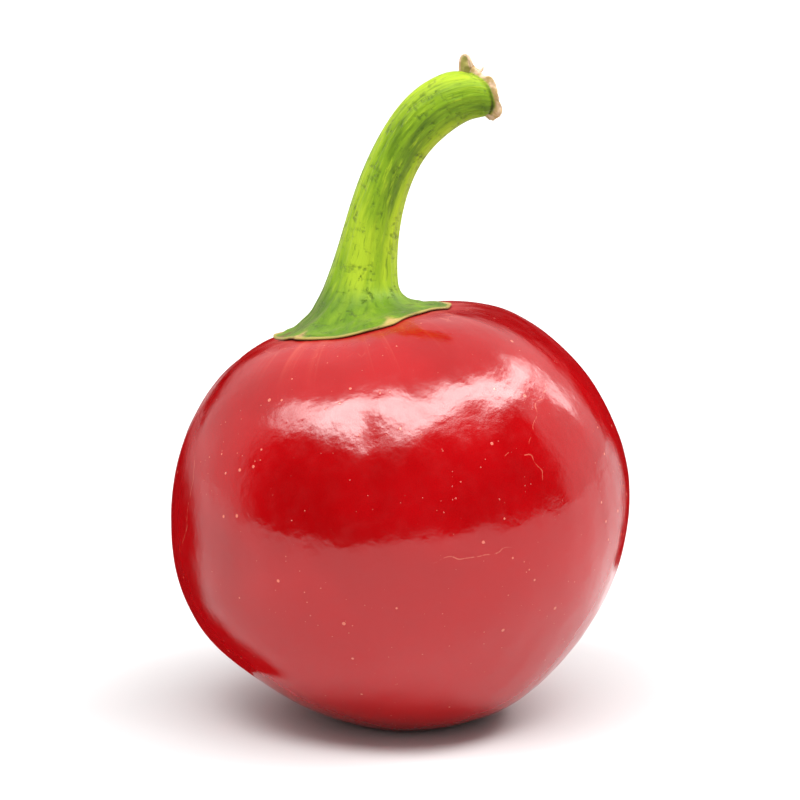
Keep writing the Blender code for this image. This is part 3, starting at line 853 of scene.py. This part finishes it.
FLAGS = {                                  # reaches and heights are in millimetres
    # first and last azimuth, (reach, azimuth where it ends), (reach, height), share at its low end
    "flag_left": (-152.0, -48.0, ((16.0, -50.0), (22.0, -70.0), (30.0, -89.0)),
                  ((15.0, 0.2), (24.0, 0.5), (30.0, 1.5), (38.0, 9.0), (46.0, 24.0),
                   (54.0, 46.0)), 0.42),
    "flag_back": (121.0, 216.0, ((46.0, 216.0), (58.0, 216.0)),
                  ((46.0, 0.2), (50.0, 4.0), (54.0, 16.0), (58.0, 50.0)), 1.0),
}
# The flags glow a dim red: a painted dark-red reflection, seen only in the fruit's gloss.
FLAG_GLOW = (0.30, 0.004, 0.006, 1.0)
FLAG_TURNS, FLAG_REACHES = 60, 40
LOW_FROM, LOW_OVER = -95.0, 57.0           # azimuths over which a flag rises from its low end
FIRST_FADE, LAST_FADE, TOP_FADE = 12.0, 13.0, 0.22
for name, (first, last, ends, profile, low) in FLAGS.items():
    end_reach, end_azimuth = np.array(ends).T
    reach, height = np.array(profile).T
    turned = np.linspace(first, last, FLAG_TURNS)[:, None]
    reach_here = np.linspace(reach[0], reach[-1], FLAG_REACHES)[None, :]
    height_here = np.interp(reach_here, reach, height)
    height_here = height_here * (low + (1.0 - low)
                                 * np.clip((LOW_FROM - turned) / LOW_OVER, 0.0, 1.0) ** 0.7)
    share = (reach_here - reach[0]) / (reach[-1] - reach[0])
    left_over = np.interp(reach_here, end_reach, end_azimuth) - turned
    covering = (np.clip((turned - first) / FIRST_FADE, 0.0, 1.0)
                * np.clip(left_over / LAST_FADE, 0.0, 1.0)
                * np.clip((1.0 - share) / TOP_FADE, 0.0, 1.0))
    turn = np.radians(turned)
    sheet = MM * np.stack([reach_here * np.sin(turn), -reach_here * np.cos(turn), height_here],
                          axis=-1)
    index = np.arange(sheet.shape[0] * sheet.shape[1]).reshape(sheet.shape[:2])
    faces = np.stack([index[:-1, :-1], index[1:, :-1], index[1:, 1:], index[:-1, 1:]], axis=-1)
    mesh = bpy.data.meshes.new(name)
    mesh.from_pydata(sheet.reshape(-1, 3).tolist(), [], faces.reshape(-1, 4).tolist())
    held = mesh.attributes.new("covering", "FLOAT", "POINT")
    held.data.foreach_set("value", covering.astype(np.float32).ravel())
    flag = bpy.data.objects.new(name, mesh)
    bpy.context.scene.collection.objects.link(flag)
    flag.visible_camera = False
    flag.visible_diffuse = False
    flag.visible_shadow = False
    tree, shader = new_material("dark_" + name, flag, Roughness=1.0, Specular_IOR_Level=0.0,
                                Base_Color=(0.0, 0.0, 0.0, 1.0), Emission_Color=FLAG_GLOW,
                                Emission_Strength=1.0)
    tree.links.new(fade(tree, attribute(tree, "covering"), 0.0, 1.0), shader.inputs["Alpha"])

world = bpy.data.worlds.new("studio")
bpy.context.scene.world = world
world.use_nodes = True
tree = world.node_tree
tree.nodes.clear()
way = node(tree, "ShaderNodeTexCoord").outputs["Generated"]
axes = node(tree, "ShaderNodeSeparateXYZ", {"Vector": way})
elevation = maths(tree, "DEGREES", maths(tree, "ARCSINE", axes.outputs["Z"]))
to_front = maths(tree, "MULTIPLY", axes.outputs["Y"], -1.0)
azimuth = maths(tree, "DEGREES", maths(tree, "ARCTAN2", axes.outputs["X"], to_front))

WALLS, SOFTBOX, SIDE_GLOW, SEEN_WHITE = 1.2, 17.5, 6.5, 1.0
DIFFUSE_DARK = 0.45                        # how much of the dark front the diffuse rays see

# Where the softbox stands, in degrees by azimuth: its middle and its half height. It is highest
# in front, comes down and fades towards both sides, and has a softer edge above than below.
softbox_middle = maths(tree, "ADD", fade(tree, azimuth, 50.0, 150.0, 43.0, 16.0),
                       maths(tree, "ADD", fade(tree, azimuth, -90.0, -55.0, 0.0, 17.0),
                             fade(tree, azimuth, -40.0, 15.0, 1.5, 0.4)))
softbox_half = fade(tree, azimuth, -40.0, 10.0, 7.6, 5.6)
off_middle = maths(tree, "SUBTRACT", elevation, softbox_middle)
over_foot = maths(tree, "ADD", off_middle, softbox_half)
over_top = maths(tree, "SUBTRACT", off_middle, softbox_half)
softbox = maths(tree, "MULTIPLY", fade(tree, over_foot, -2.5, 2.5),
                fade(tree, over_top, -3.0, 6.0, 1.0, 0.0))
softbox = maths(tree, "MULTIPLY", softbox, between(tree, azimuth, -86.0, 134.0, 8.0))
softbox = maths(tree, "MULTIPLY", softbox, fade(tree, azimuth, -85.0, -50.0, 0.5, 1.0))
softbox = maths(tree, "MULTIPLY", softbox, fade(tree, azimuth, 90.0, 120.0, 1.0, 0.65))
side_glow = maths(tree, "MULTIPLY", between(tree, elevation, 18.0, 28.0, 3.0),
                  between(tree, azimuth, 124.0, 133.0, 3.0))
front_dark = maths(tree, "MULTIPLY", fade(tree, over_foot, -8.0, -2.0, 1.0, 0.0),
                   between(tree, azimuth, -84.0, 94.0, 8.0))
back_dark = maths(tree, "MULTIPLY", fade(tree, elevation, 8.0, 25.0, 1.0, 0.0),
                  fade(tree, maths(tree, "ABSOLUTE", azimuth), 135.0, 150.0))
rays = node(tree, "ShaderNodeLightPath").outputs
dark = maths(tree, "MULTIPLY", maths(tree, "MAXIMUM", front_dark, back_dark),
             fade(tree, rays["Is Diffuse Ray"], 0.0, 1.0, 1.0, DIFFUSE_DARK))
walls = maths(tree, "MULTIPLY", maths(tree, "SUBTRACT", 1.0, dark), WALLS)
radiance = maths(tree, "ADD", walls, maths(tree, "MULTIPLY", softbox, SOFTBOX))
radiance = maths(tree, "ADD", radiance, maths(tree, "MULTIPLY", side_glow, SIDE_GLOW))
strength = node(tree, "ShaderNodeMix", {"Factor": rays["Is Camera Ray"], "A": radiance,
                                        "B": SEEN_WHITE}, data_type="FLOAT")
glow = node(tree, "ShaderNodeBackground", {"Strength": strength.outputs[0]})
tree.links.new(glow.outputs[0], node(tree, "ShaderNodeOutputWorld").inputs["Surface"])
bpy.context.scene.view_settings.view_transform = "Standard"
